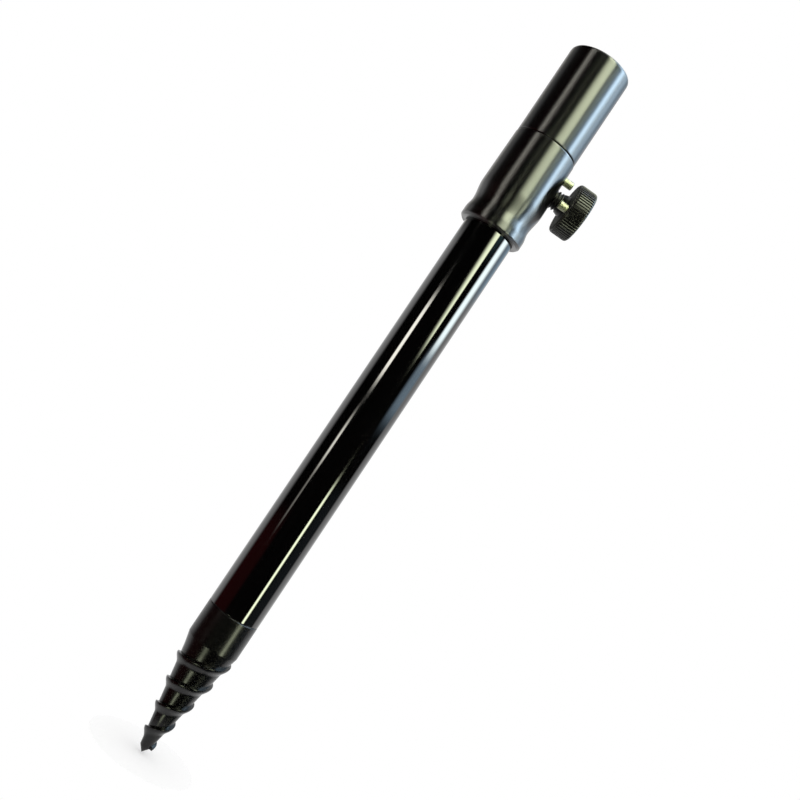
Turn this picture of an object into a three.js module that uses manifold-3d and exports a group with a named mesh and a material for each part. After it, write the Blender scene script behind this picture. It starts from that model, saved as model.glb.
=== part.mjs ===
// A telescopic bank stick, closed: a screw point, an outer tube with a collar and a
// captive thumbscrew, and an inner stage whose head takes an alarm or a buzz bar.
// Millimetres. The stick stands along +Z, with the apex of its point at the origin,
// and the thumbscrew stands out of the collar along +X.

import * as THREE from "three";
import { mergeVertices } from "three/addons/utils/BufferGeometryUtils.js";
import Module from "manifold-3d";

const wasm = await Module();
wasm.setup();

// The stick as a whole
const TUBE_DIAMETER = 19;
const TUBE_WALL = 1;
const BODY_LENGTH = 228.6; // from the tube's foot to the top of the head
const INNER_PLAY = 0.5; // from the outer tube's bore to the inner tube, on the radius
const INNER_WALL = 1.2;

// Clearances and small edges
const FIT = 0.05; // on the radius, between pieces that are fixed together
const RUNNING = 0.1; // on the radius, between pieces that slide or turn
const SEAT = 0.3; // along an axis, between pieces that are clamped or turn on each other
const EDGE = 0.15; // broken edges
const OVERRUN = 1; // how far a cutter runs past what it cuts

// Screw point
const POINT_LENGTH = 55; // from the apex to the tube's foot
const THREAD_LENGTH = 42.6; // from the apex to the shoulder under the plain cylinder
const TIP_LENGTH = 2.4;
const CORE_START_RADIUS = 1.5; // where the core's cone would meet the apex's height
const CORE_STEP = 1.1; // how far the core's cone ends inside the cylinder, on the radius
const CORE_SHOULDER = 4.3; // length of the slope from there to the cylinder
const CREST_START_RADIUS = 2.5; // like the core's, for the cone over the ridge's crest
const CREST_LENGTH = 38.3; // from the apex to where the crest is as wide as the tube
const RIDGE_ROOT = 0.1; // how deep the ridge sits in the core
const RIDGE_PITCH = 8.8;
const RIDGE_START = 3; // height of the crest where the ridge begins
const RIDGE_MARK = 3.6; // height of a crest at the angle below
const RIDGE_MARK_ANGLE = THREE.MathUtils.degToRad(-6); // from +X
const SPIGOT_LENGTH = 20;
const SPIGOT_CHAMFER = 0.8;
const JOINT_CHAMFER = 0.25; // both edges where the tube meets the point

// Down the ridge's flank from its crest: shares of the pitch, and shares of the way in
// from the crest to the core
const FLANK_SHARES = [
  [0.07, 0.15],
  [0.17, 0.44],
  [0.27, 0.79],
  [0.4, 1],
];
const LEDGE_SHARE = 0.05; // of the pitch, the slope of the ledge over the crest

// Collar. Its walls are outside the outer tube, its heights above its own foot
const TOP_WALL = 2.5;
const SHOULDER_WALL = 2.8;
const WAIST_WALL = 1.9;
const LIP_WALL = 2.5;
const SHOULDER_HEIGHT = 14.6;
const WAIST_HEIGHT = 7.2;
const FLARE_HEIGHT = 3.2;
const LIP_CHAMFER = 0.75;
const SCREW_HEIGHT = 23.2;
const RIB_MARGIN = 1.3; // of the thick rib, above and below the screw's hole
const RIB_CLEARANCE = 0.15; // from the rib to the inner tube, on the radius
const HOLE_CHAMFER = 0.3;
const SLEEVE_WALL = 1.2; // the plastic sleeve over the rib
const SLEEVE_LENGTH = 6.15;
const WIPER_CORD = 1.15;
const WIPER_COVER = 0.3; // from the rubber ring to the collar's top

// Head
const HEAD_LENGTH = 35.7;
const HEAD_WALL = 2.35; // outside the radius of the outer tube
const HEAD_ROUND = 1.5;
const HEAD_WEB = 3.5; // solid metal between the bores of the tube and the insert
const SEAM = 0.3; // between the head and the collar
const INSERT_DIAMETER = 14;
const INSERT_LENGTH = 14;
const INSERT_RECESS = 0.2;
const SOCKET_DIAMETER = 8.3; // over the crests of the female thread
const SOCKET_CHAMFER = 1;

// Foot of the inner stage
const FOOT_CLEARANCE = 3; // above the spigot of the point
const FLANGE_LENGTH = 2;
const NECK_STEP = 0.2; // from the inner tube's bore to the plug's neck
const PLUG_SPIGOT_LENGTH = 12;
const GUIDE_LENGTH = 11.4;

// Thumbscrew
const SCREW_DIAMETER = 7.1;
const SCREW_PITCH = 1.27;
const SCREW_THREAD_DEPTH = 0.65;
const PAD_DIAMETER = 6;
const PAD_LENGTH = 1.2;
const KNOB_STANDOFF = 4.8; // from the collar's shoulder to the knob
const KNOB_DIAMETER = 19.5;
const KNOB_LENGTH = 7.3;
const KNURLS = 58;
const KNURL_DEPTH = 0.4;
const KNURL_CREST_SHARE = 0.3; // of a knurl's width, the flat on its crest
const OUTER_CHAMFER = 1.2; // on the knob's radius
const OUTER_CHAMFER_LENGTH = 1.5;
const INNER_CHAMFER = 0.9;
const INNER_CHAMFER_LENGTH = 0.9;
const DISH_DIAMETER = 13;
const DISH_DEPTH = 0.5;
const KNOB_WEB = 1.6; // from the stud's bore to the dish
const HUB_DIAMETER = 8;
const HUB_LENGTH = 1.5;
const HUB_CONE_LENGTH = 1.2;
const HUB_POCKET_DEPTH = 0.7;
const STUD_CORE_DIAMETER = 6; // the stud's end inside the knob

// Stop pins, both on one circle round the screw
const PIN_DIAMETER = 3;
const PIN_CIRCLE_RADIUS = 7.4;
const PIN_CHAMFER = 0.25;
const COLLAR_PIN_FLOOR = 0.45; // metal left under the collar's pin
const COLLAR_PIN_PROUD = 3.5;
const KNOB_PIN_SUNK = 2;
const KNOB_PIN_PROUD = 3.2;
const KNOB_PIN_ANGLE = THREE.MathUtils.degToRad(199); // from +Y to +Z, about +X

// Steps round each kind of shape
const ROUND_STEPS = 48;
const SMALL_STEPS = 24;
const RIDGE_STEPS = 24;
const THREAD_STEPS = 12;
const CORD_STEPS = 8;
const ARC_STEPS = 4;
const WAIST_STEPS = 6;

// Sizes that follow from those above
const tubeRadius = TUBE_DIAMETER / 2;
const tubeBore = tubeRadius - TUBE_WALL;
const innerRadius = tubeBore - INNER_PLAY;
const innerBore = innerRadius - INNER_WALL;
const screwRadius = SCREW_DIAMETER / 2;
const screwHole = screwRadius + RUNNING;
const sleeveRadius = innerRadius + RUNNING + SLEEVE_WALL;
const pocketRadius = sleeveRadius + FIT;
const pinRadius = PIN_DIAMETER / 2;
const coreLength = THREAD_LENGTH - CORE_SHOULDER;

// Heights, from the head down and then from the point up
const topHeight = POINT_LENGTH + BODY_LENGTH;
const headFoot = topHeight - HEAD_LENGTH;
const collarTop = headFoot - SEAM;
const sleeveTop = collarTop - WIPER_COVER - WIPER_CORD - FIT;
const ribTop = sleeveTop - SLEEVE_LENGTH;
const screwAxis = ribTop - RIB_MARGIN - screwHole;
const tubeTop = screwAxis - screwHole - RIB_MARGIN;
const collarFoot = screwAxis - SCREW_HEIGHT;
const insertFoot = topHeight - INSERT_RECESS - INSERT_LENGTH;
const headBoreTop = insertFoot - FIT - HEAD_WEB;
const stageFoot = POINT_LENGTH + SPIGOT_LENGTH + FOOT_CLEARANCE;
const flangeTop = stageFoot + FLANGE_LENGTH;
const guideFoot = flangeTop + SEAT;
const guideTop = guideFoot + GUIDE_LENGTH;
const innerFoot = guideTop + SEAT;

// Distances along the thumbscrew, from the stick's axis
const padStart = innerRadius + SEAT;
const padEnd = padStart + PAD_LENGTH;
const screwNose = padEnd + SEAT;
const shoulderRadius = tubeRadius + SHOULDER_WALL;
const knobStart = shoulderRadius + KNOB_STANDOFF;
const knobEnd = knobStart + KNOB_LENGTH;
const dishFloor = knobEnd - DISH_DEPTH;

// A closed geometry as a solid, with its shared vertices merged.
function solidOf(geometry) {
  const bare = geometry.clone();
  bare.deleteAttribute("normal");
  bare.deleteAttribute("uv");
  const merged = mergeVertices(bare);
  return new wasm.Manifold(
    new wasm.Mesh({
      numProp: 3,
      vertProperties: merged.attributes.position.array,
      triVerts: new Uint32Array(merged.index.array),
    }),
  );
}

// A solid turned about +Z from an outline of [radius, height] points.
function turned(outline, steps = ROUND_STEPS) {
  const points = outline.map(([radius, height]) => new THREE.Vector2(radius, height));
  return solidOf(new THREE.LatheGeometry(points, steps).rotateX(Math.PI / 2));
}

// The same for a ring: its outline closes on itself.
function turnedRing(outline, steps = ROUND_STEPS) {
  return turned([...outline, outline[0]], steps);
}

// A round pin along +Z, with both ends broken by a chamfer.
function pin(radius, start, end, chamfer) {
  return turned(
    [
      [0, start],
      [radius - chamfer, start],
      [radius, start + chamfer],
      [radius, end - chamfer],
      [radius - chamfer, end],
      [0, end],
    ],
    SMALL_STEPS,
  );
}

// A plain round cutter along +Z.
function drill(radius, start, end) {
  return turned(
    [
      [0, start],
      [radius, start],
      [radius, end],
      [0, end],
    ],
    SMALL_STEPS,
  );
}

// A right-hand ridge about +Z. sectionAt gives its outline of [radius, height] points,
// anticlockwise, for a crest at the given height, and mark is a crest's height at an
// angle from +X.
function helicalRidge({ sectionAt, pitch, start, end, mark, markAngle, steps }) {
  const rings = Math.ceil(((end - start) / pitch) * steps);
  const first = sectionAt(start);
  const corners = first.length;
  const positions = [];
  const faces = [];
  for (let ring = 0; ring <= rings; ring += 1) {
    const crest = start + ((end - start) * ring) / rings;
    const angle = markAngle + (2 * Math.PI * (crest - mark)) / pitch;
    for (const [radius, height] of sectionAt(crest))
      positions.push(radius * Math.cos(angle), radius * Math.sin(angle), height);
  }
  for (let ring = 0; ring < rings; ring += 1) {
    for (let corner = 0; corner < corners; corner += 1) {
      const a = ring * corners + corner;
      const b = ring * corners + ((corner + 1) % corners);
      faces.push(a, b + corners, b, a, a + corners, b + corners);
    }
  }
  const outline = first.map(([radius, height]) => new THREE.Vector2(radius, height));
  const last = rings * corners;
  for (const [a, b, c] of THREE.ShapeUtils.triangulateShape(outline, []))
    faces.push(a, b, c, last + a, last + c, last + b);
  const geometry = new THREE.BufferGeometry();
  geometry.setAttribute("position", new THREE.Float32BufferAttribute(positions, 3));
  geometry.setIndex(faces);
  return solidOf(geometry);
}

// A solid turned from +Z onto +X and lifted to a height.
function crosswise(solid, height) {
  const turn = new THREE.Matrix4().makeRotationY(Math.PI / 2).setPosition(0, 0, height);
  return solid.transform(turn.elements);
}

// A named mesh of a solid, in its own material.
function piece(name, solid, { color, roughness, metalness }) {
  const { vertProperties, triVerts } = solid.getMesh();
  const geometry = new THREE.BufferGeometry();
  geometry.setAttribute("position", new THREE.BufferAttribute(vertProperties, 3));
  geometry.setIndex(new THREE.BufferAttribute(triVerts, 1));
  geometry.computeVertexNormals();
  const material = new THREE.MeshStandardMaterial({ color, roughness, metalness });
  const mesh = new THREE.Mesh(geometry, material);
  mesh.name = name;
  return mesh;
}

const GLOSS_BLACK = { color: 0x101012, roughness: 0.12, metalness: 0.9 };
const SATIN_BLACK = { color: 0x151517, roughness: 0.3, metalness: 0.85 };
const KNOB_BLACK = { color: 0x1b1b1a, roughness: 0.45, metalness: 0.6 };
const SCREW_BLACK = { color: 0x0c0c0d, roughness: 0.4, metalness: 0.8 };
const PALE_PIN = { color: 0xd8d9b4, roughness: 0.35, metalness: 0.5 };
const PLAIN_STEEL = { color: 0xa9aaac, roughness: 0.3, metalness: 1 };
const PALE_PLASTIC = { color: 0xd9d6cc, roughness: 0.5, metalness: 0 };
const BLACK_RUBBER = { color: 0x121212, roughness: 0.8, metalness: 0 };

// Screw point: a cone with a fir-tree ridge round it, under a plain cylinder
function coreRadius(height) {
  const share = height / coreLength;
  const radius = CORE_START_RADIUS + (tubeRadius - CORE_STEP - CORE_START_RADIUS) * share;
  return Math.min(radius, tubeRadius);
}

function crestRadius(height) {
  const share = height / CREST_LENGTH;
  const radius = CREST_START_RADIUS + (tubeRadius - CREST_START_RADIUS) * share;
  return Math.min(radius, tubeRadius - FIT);
}

// The ridge starts bluntly over the tip, and its crest runs up into the cylinder.
function ridgeSection(crest) {
  const flankLength = FLANK_SHARES.at(-1)[0] * RIDGE_PITCH;
  const reach = crestRadius(crest);
  const foot = coreRadius(crest - flankLength) - RIDGE_ROOT;
  const flank = FLANK_SHARES.map(([down, inwards]) => [
    reach + (foot - reach) * inwards,
    crest - down * RIDGE_PITCH,
  ]);
  const ledge = crest + LEDGE_SHARE * RIDGE_PITCH;
  const outline = [
    ...flank.reverse(),
    [reach, crest],
    [coreRadius(ledge) - RIDGE_ROOT, ledge],
  ];
  return outline.map(([radius, height]) => [radius, Math.max(height, TIP_LENGTH)]);
}

function screwPoint() {
  const spigotRadius = tubeBore - FIT;
  const spigotTop = POINT_LENGTH + SPIGOT_LENGTH;
  const body = turned([
    [0, 0],
    [coreRadius(TIP_LENGTH), TIP_LENGTH],
    [coreRadius(coreLength), coreLength],
    [tubeRadius, THREAD_LENGTH],
    [tubeRadius, POINT_LENGTH - JOINT_CHAMFER],
    [tubeRadius - JOINT_CHAMFER, POINT_LENGTH],
    [spigotRadius, POINT_LENGTH],
    [spigotRadius, spigotTop - SPIGOT_CHAMFER],
    [spigotRadius - SPIGOT_CHAMFER, spigotTop],
    [0, spigotTop],
  ]);
  const ridge = helicalRidge({
    sectionAt: ridgeSection,
    pitch: RIDGE_PITCH,
    start: RIDGE_START,
    end: THREAD_LENGTH + FLANK_SHARES.at(-1)[0] * RIDGE_PITCH,
    mark: RIDGE_MARK,
    markAngle: RIDGE_MARK_ANGLE,
    steps: RIDGE_STEPS,
  });
  return body.add(ridge);
}

// Outer tube, with the outside edge of its foot broken
function outerTube() {
  return turnedRing([
    [tubeBore, POINT_LENGTH],
    [tubeRadius - JOINT_CHAMFER, POINT_LENGTH],
    [tubeRadius, POINT_LENGTH + JOINT_CHAMFER],
    [tubeRadius, tubeTop],
    [tubeBore, tubeTop],
  ]);
}

// Collar: one side of its waist, as a curve from the waist to a wall at a height that
// starts and ends upright
function waistCurve(wall, height) {
  const points = [];
  for (let i = 1; i <= WAIST_STEPS; i += 1) {
    const share = i / WAIST_STEPS;
    points.push([
      tubeRadius + WAIST_WALL + (wall - WAIST_WALL) * THREE.MathUtils.smoothstep(share, 0, 1),
      collarFoot + WAIST_HEIGHT + (height - WAIST_HEIGHT) * share,
    ]);
  }
  return points;
}

function collar() {
  const lip = tubeRadius + LIP_WALL;
  const top = tubeRadius + TOP_WALL;
  const seat = tubeRadius + FIT;
  const rib = innerRadius + RIB_CLEARANCE;
  const body = turnedRing([
    [seat + EDGE, collarFoot],
    [lip - LIP_CHAMFER, collarFoot],
    [lip, collarFoot + LIP_CHAMFER],
    ...waistCurve(LIP_WALL, FLARE_HEIGHT).reverse(),
    [tubeRadius + WAIST_WALL, collarFoot + WAIST_HEIGHT],
    ...waistCurve(SHOULDER_WALL, SHOULDER_HEIGHT),
    [top, collarTop - EDGE],
    [top - EDGE, collarTop],
    [pocketRadius, collarTop],
    [pocketRadius, ribTop],
    [rib, ribTop],
    [rib, tubeTop],
    [seat, tubeTop],
    [seat, collarFoot + EDGE],
  ]);
  const outside = shoulderRadius + OVERRUN;
  const mouth = screwHole + HOLE_CHAMFER + OVERRUN;
  const countersink = turned(
    [
      [0, outside - mouth],
      [mouth, outside],
      [0, outside],
    ],
    SMALL_STEPS,
  );
  const pinHole = drill(pinRadius + FIT, pocketRadius + COLLAR_PIN_FLOOR - FIT, outside);
  return body
    .subtract(crosswise(drill(screwHole, 0, outside), screwAxis))
    .subtract(crosswise(countersink, screwAxis))
    .subtract(crosswise(pinHole, screwAxis + PIN_CIRCLE_RADIUS));
}

// Plastic sleeve in the collar's mouth
function collarBush() {
  const bore = innerRadius + RUNNING;
  return turnedRing([
    [bore, ribTop + EDGE],
    [bore + EDGE, ribTop],
    [sleeveRadius, ribTop],
    [sleeveRadius, sleeveTop],
    [bore + EDGE, sleeveTop],
    [bore, sleeveTop - EDGE],
  ]);
}

// Rubber ring round the inner tube, on the sleeve
function wiperRing() {
  const cord = WIPER_CORD / 2;
  const centre = innerRadius + RUNNING + cord;
  const outline = [];
  for (let i = 0; i < CORD_STEPS; i += 1) {
    const angle = (2 * Math.PI * i) / CORD_STEPS;
    outline.push([
      centre + cord * Math.cos(angle),
      sleeveTop + FIT + cord + cord * Math.sin(angle),
    ]);
  }
  return turnedRing(outline);
}

// Inner tube, from the foot plug's neck to the bottom of the head's bore
function innerTube() {
  return turnedRing([
    [innerBore, innerFoot],
    [innerRadius - EDGE, innerFoot],
    [innerRadius, innerFoot + EDGE],
    [innerRadius, headBoreTop - SEAT],
    [innerBore, headBoreTop - SEAT],
  ]);
}

// Foot plug: a flange, a neck for the guide bush and a spigot in the inner tube
function footPlug() {
  const spigot = innerBore - FIT;
  const neck = innerBore - NECK_STEP;
  const spigotTop = innerFoot + PLUG_SPIGOT_LENGTH;
  return turned([
    [0, stageFoot],
    [innerRadius - EDGE, stageFoot],
    [innerRadius, stageFoot + EDGE],
    [innerRadius, flangeTop],
    [neck, flangeTop],
    [neck, innerFoot],
    [spigot, innerFoot],
    [spigot, spigotTop - EDGE],
    [spigot - EDGE, spigotTop],
    [0, spigotTop],
  ]);
}

// Guide bush, free on the plug's neck and in the outer tube
function guideBush() {
  const outside = tubeBore - RUNNING;
  const bore = innerBore - NECK_STEP + RUNNING;
  return turnedRing([
    [bore, guideFoot],
    [outside - EDGE, guideFoot],
    [outside, guideFoot + EDGE],
    [outside, guideTop - EDGE],
    [outside - EDGE, guideTop],
    [bore, guideTop],
  ]);
}

// Head, bored for the inner tube below and for the threaded insert above
function head() {
  const radius = tubeRadius + HEAD_WALL;
  const tubeHole = innerRadius + FIT;
  const insertHole = INSERT_DIAMETER / 2 + FIT;
  const rounding = [];
  for (let i = 0; i <= ARC_STEPS; i += 1) {
    const angle = (Math.PI / 2) * (i / ARC_STEPS);
    rounding.push([
      radius - HEAD_ROUND + HEAD_ROUND * Math.cos(angle),
      topHeight - HEAD_ROUND + HEAD_ROUND * Math.sin(angle),
    ]);
  }
  return turned([
    [0, headBoreTop],
    [tubeHole, headBoreTop],
    [tubeHole, headFoot],
    [radius - EDGE, headFoot],
    [radius, headFoot + EDGE],
    ...rounding,
    [insertHole + EDGE, topHeight],
    [insertHole, topHeight - EDGE],
    [insertHole, insertFoot - FIT],
    [0, insertFoot - FIT],
  ]);
}

// Steel insert with the socket for an alarm or a buzz bar
function headInsert() {
  const outside = INSERT_DIAMETER / 2;
  const socket = SOCKET_DIAMETER / 2;
  const top = topHeight - INSERT_RECESS;
  return turnedRing([
    [socket, insertFoot],
    [outside, insertFoot],
    [outside, top - EDGE],
    [outside - EDGE, top],
    [socket + SOCKET_CHAMFER, top],
    [socket, top - SOCKET_CHAMFER],
  ]);
}

// Thumbscrew's stud: a threaded shank, a conical hub and a plain end in the knob
const THREAD_CREST_SHARE = 0.08; // of the pitch, from the crest's middle to its edge
const THREAD_ROOT_SHARE = 0.44; // of the pitch, from the crest's middle to its root
const shankRadius = screwRadius - SCREW_THREAD_DEPTH;

function threadSection(crest) {
  return [
    [shankRadius - FIT, crest - THREAD_ROOT_SHARE * SCREW_PITCH],
    [screwRadius, crest - THREAD_CREST_SHARE * SCREW_PITCH],
    [screwRadius, crest + THREAD_CREST_SHARE * SCREW_PITCH],
    [shankRadius - FIT, crest + THREAD_ROOT_SHARE * SCREW_PITCH],
  ];
}

function thumbscrewStud() {
  const hub = HUB_DIAMETER / 2;
  const hubEnd = knobStart + HUB_POCKET_DEPTH - SEAT;
  const hubStart = hubEnd - HUB_LENGTH;
  const shankEnd = hubStart - HUB_CONE_LENGTH;
  const core = STUD_CORE_DIAMETER / 2;
  const end = dishFloor - KNOB_WEB - SEAT;
  const body = turned(
    [
      [0, screwNose],
      [shankRadius - EDGE, screwNose],
      [shankRadius, screwNose + EDGE],
      [shankRadius, shankEnd],
      [screwRadius, shankEnd],
      [hub, hubStart],
      [hub, hubEnd],
      [core, hubEnd],
      [core, end - EDGE],
      [core - EDGE, end],
      [0, end],
    ],
    SMALL_STEPS,
  );
  const thread = helicalRidge({
    sectionAt: threadSection,
    pitch: SCREW_PITCH,
    start: screwNose + SCREW_PITCH / 2,
    end: shankEnd,
    mark: screwNose,
    markAngle: 0,
    steps: THREAD_STEPS,
  });
  return body.add(thread);
}

// The knob's pin stands on the pins' circle: turning +Z onto +X brings -X onto +Z and
// leaves +Y as it is.
const knobPinPlace = [
  -PIN_CIRCLE_RADIUS * Math.sin(KNOB_PIN_ANGLE),
  PIN_CIRCLE_RADIUS * Math.cos(KNOB_PIN_ANGLE),
  0,
];

// Knob: a knurled bar, turned to its outline and bored for the stud and the pin
function thumbscrewKnob() {
  const radius = KNOB_DIAMETER / 2;
  const start = knobStart - OVERRUN;
  const rim = [];
  for (let knurl = 0; knurl < KNURLS; knurl += 1) {
    const corners = [
      [0, radius - KNURL_DEPTH],
      [(1 - KNURL_CREST_SHARE) / 2, radius],
      [(1 + KNURL_CREST_SHARE) / 2, radius],
    ];
    for (const [share, reach] of corners) {
      const angle = (2 * Math.PI * (knurl + share)) / KNURLS;
      rim.push(new THREE.Vector2(reach * Math.cos(angle), reach * Math.sin(angle)));
    }
  }
  const bar = new THREE.ExtrudeGeometry(new THREE.Shape(rim), {
    depth: knobEnd + OVERRUN - start,
    bevelEnabled: false,
  });
  const blank = turned([
    [0, knobStart],
    [radius - INNER_CHAMFER, knobStart],
    [radius, knobStart + INNER_CHAMFER_LENGTH],
    [radius, knobEnd - OUTER_CHAMFER_LENGTH],
    [radius - OUTER_CHAMFER, knobEnd],
    [DISH_DIAMETER / 2 + DISH_DEPTH, knobEnd],
    [DISH_DIAMETER / 2, dishFloor],
    [0, dishFloor],
  ]);
  const pocket = drill(HUB_DIAMETER / 2 + FIT, start, knobStart + HUB_POCKET_DEPTH);
  const studHole = drill(STUD_CORE_DIAMETER / 2 + FIT, start, dishFloor - KNOB_WEB);
  const pinHole = drill(pinRadius + FIT, start, knobStart + KNOB_PIN_SUNK + FIT);
  return solidOf(bar.translate(0, 0, start))
    .intersect(blank)
    .subtract(pocket)
    .subtract(studHole)
    .subtract(pinHole.translate(knobPinPlace));
}

// The pieces that stand along the stick
const stick = new THREE.Group();
stick.add(
  piece("screw_point", screwPoint(), SATIN_BLACK),
  piece("outer_tube", outerTube(), GLOSS_BLACK),
  piece("collar", collar(), SATIN_BLACK),
  piece("collar_bush", collarBush(), PALE_PLASTIC),
  piece("wiper_ring", wiperRing(), BLACK_RUBBER),
  piece("inner_tube", innerTube(), GLOSS_BLACK),
  piece("foot_plug", footPlug(), PALE_PLASTIC),
  piece("guide_bush", guideBush(), PALE_PLASTIC),
  piece("head", head(), SATIN_BLACK),
  piece("head_insert", headInsert(), PLAIN_STEEL),
);

// The pieces that stand along the thumbscrew, made along +Z and turned onto +X
const thumbscrew = new THREE.Group();
thumbscrew.position.z = screwAxis;
thumbscrew.rotation.y = Math.PI / 2;
const knobPin = piece(
  "knob_stop_pin",
  pin(pinRadius, knobStart - KNOB_PIN_PROUD, knobStart + KNOB_PIN_SUNK, PIN_CHAMFER),
  PALE_PIN,
);
knobPin.position.set(...knobPinPlace);
const collarPin = piece(
  "collar_stop_pin",
  pin(
    pinRadius,
    pocketRadius + COLLAR_PIN_FLOOR,
    tubeRadius + TOP_WALL + COLLAR_PIN_PROUD,
    PIN_CHAMFER,
  ),
  PALE_PIN,
);
collarPin.position.x = -PIN_CIRCLE_RADIUS;
thumbscrew.add(
  piece("thumbscrew_stud", thumbscrewStud(), SCREW_BLACK),
  piece("thumbscrew_knob", thumbscrewKnob(), KNOB_BLACK),
  piece("clamp_pad", pin(PAD_DIAMETER / 2, padStart, padEnd, EDGE), PALE_PLASTIC),
  knobPin,
  collarPin,
);

const bankStick = new THREE.Group();
bankStick.add(stick, thumbscrew);

export default bankStick;
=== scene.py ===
# The looks of a telescopic bank stick: a finished piece over every CAD node, a pale
# floor, soft studio light and the camera. Sizes are written in millimetres, and MM
# turns them into metres where they meet Blender.
import math
from typing import NamedTuple

import bmesh
import bpy
import numpy as np
from mathutils import Matrix, Vector


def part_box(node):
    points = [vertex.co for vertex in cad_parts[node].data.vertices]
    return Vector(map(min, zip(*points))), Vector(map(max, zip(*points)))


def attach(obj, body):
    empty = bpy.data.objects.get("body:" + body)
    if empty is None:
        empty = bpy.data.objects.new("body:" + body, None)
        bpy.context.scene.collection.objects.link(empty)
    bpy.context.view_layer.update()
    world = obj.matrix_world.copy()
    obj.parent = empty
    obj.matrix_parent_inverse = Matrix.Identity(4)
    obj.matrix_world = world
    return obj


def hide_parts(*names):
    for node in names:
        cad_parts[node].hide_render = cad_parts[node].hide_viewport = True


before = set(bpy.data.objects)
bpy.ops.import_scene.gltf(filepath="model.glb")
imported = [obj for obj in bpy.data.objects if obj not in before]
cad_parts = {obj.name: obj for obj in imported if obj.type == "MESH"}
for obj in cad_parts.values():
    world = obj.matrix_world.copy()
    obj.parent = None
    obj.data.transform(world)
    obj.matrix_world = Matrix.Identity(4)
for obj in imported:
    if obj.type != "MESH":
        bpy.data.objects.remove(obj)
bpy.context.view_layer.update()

MM = 0.001
TAU = 2 * math.pi

# Camera: a 45 mm lens, slightly to the left of the front, -Y, and looking slightly
# upwards, rolled so that the stick leans to the right
VIEW_AZIMUTH = math.radians(-6)
VIEW_PITCH = math.asin(0.065)
VIEW_ROLL = math.radians(33.76)
VIEW_DISTANCE = 344 * MM
VIEW_HEIGHT = 146.2 * MM  # of the stick's axis at the middle of the picture
VIEW_SHIFT = 6.6 * MM  # from the stick's axis to the lens's axis
VIEW_RIGHT = Vector((math.cos(VIEW_AZIMUTH), math.sin(VIEW_AZIMUTH), 0))
VIEW_LEVEL = Vector((-math.sin(VIEW_AZIMUTH), math.cos(VIEW_AZIMUTH), 0))  # away from the camera
LENS = 45
SENSOR = 36

# Sizes in millimetres that the boxes of the CAD nodes don't give
TUBE_WALL = 1
INNER_WALL = 1.2
FIT = 0.05
RUNNING = 0.1
SEAT = 0.3
SOFT_EDGE = 0.12  # rounding of a broken edge
SEAM_EDGE = 0.5  # the same where the head meets the collar
FINE_EDGE = 0.05
OVERRUN = 1  # how far a cutter runs past what it cuts

TIP_LENGTH = 2.4
TIP_BLUNTING = (0.04, 0.03)  # radius and height of the apex's small blunt end
THREAD_LENGTH = 42.6
CORE_START_RADIUS = 1.5
CORE_STEP = 1.1
CORE_SHOULDER = 4.3
CREST_START_RADIUS = 2.5
CREST_LENGTH = 38.3
RIDGE_PITCH = 8.8
RIDGE_START = 3
RIDGE_MARK = 3.6
RIDGE_MARK_ANGLE = math.radians(-6)
FLANK_SHARE = 0.42  # of the pitch, below a crest
LAND_SHARE = 0.012  # of the pitch, the narrow top of the crest
LEDGE_SHARE = 0.05
GROOVE_SHARES = (0.08, 0.2, 0.35, 0.5)  # of the pitch, rows from a ledge to the next flank
FLANK_ROWS = 13
TOP_FLANK_ROW = 0.03  # of the flank, below its crest
CYLINDER_ROWS = (0.02, 0.4)  # above the thread, rows at the foot of the plain cylinder
JOINT_CHAMFER = 0.25
SPIGOT_CHAMFER = 0.8

TOP_WALL = 2.5
SHOULDER_WALL = 2.8
WAIST_WALL = 1.9
LIP_WALL = 2.5
SHOULDER_HEIGHT = 14.6
WAIST_HEIGHT = 7.2
FLARE_HEIGHT = 3.2
LIP_CHAMFER = 0.75
RIB_CLEARANCE = 0.15

HEAD_ROUND = 1.5
HEAD_WEB = 3.5
SOCKET_DIAMETER = 8.3
SOCKET_CHAMFER = 1
SOCKET_PITCH = 1.27
SOCKET_THREAD_DEPTH = 0.6
FLANGE_LENGTH = 2
NECK_STEP = 0.2

SCREW_DIAMETER = 7.1
SCREW_PITCH = 1.27
SCREW_THREAD_DEPTH = 0.65
THREAD_CREST_SHARE = 0.08  # of the pitch, from the crest's middle to its edge
THREAD_ROOT_SHARE = 0.44  # of the pitch, from the crest's middle to its root
KNURLS = 58
KNURL_DEPTH = 0.4
KNURL_ROOT_EDGE = 0.08  # of a knurl's width, from the middle of its root
KNURL_CREST_EDGE = 0.35  # the same, to the nearer edge of its crest
KNURL_SHARES = (0, KNURL_ROOT_EDGE, KNURL_CREST_EDGE, 1 - KNURL_CREST_EDGE, 1 - KNURL_ROOT_EDGE)
OUTER_ROUND = 1.5
INNER_ROUND = 1.5
DISH_DIAMETER = 13
DISH_DEPTH = 0.5
KNOB_WEB = 1.6
HUB_LENGTH = 1.5
HUB_CONE_LENGTH = 1.2
HUB_POCKET_DEPTH = 0.7
STUD_CORE_DIAMETER = 6
PIN_CHAMFER = 0.25

LARGE_STEPS = 144
SMALL_STEPS = 72
ARC_STEPS = 4
WAIST_STEPS = 12
CORD_STEPS = 16

# Limits of the mesh work, in millimetres where they are lengths
WELD = 0.0002  # closer points become one
SLIVER = 0.0001  # shorter edges are dissolved
ROUNDING_LIMIT = 0.45  # of a side's length, the most that a corner's curve takes of it
CUT_FACE_COSINE = 0.85  # a face turned further off the outline's normal is a cut, and stays flat
SMOOTH_ANGLE = math.radians(32)
TURN_MARGIN = 3  # turns of a thread that are worked out past each of its ends
TURN_SLACK = 1e-6  # of a turn, so that a row on a crest counts as above it
TINY = 1e-9  # keeps a division by zero away


def clamped(value, least=0, most=1):
    return min(max(value, least), most)


def smoothstep(share):
    return share * share * (3 - 2 * share)


# Places read from the frame, in millimetres

def low(node):
    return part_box(node)[0] / MM


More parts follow.
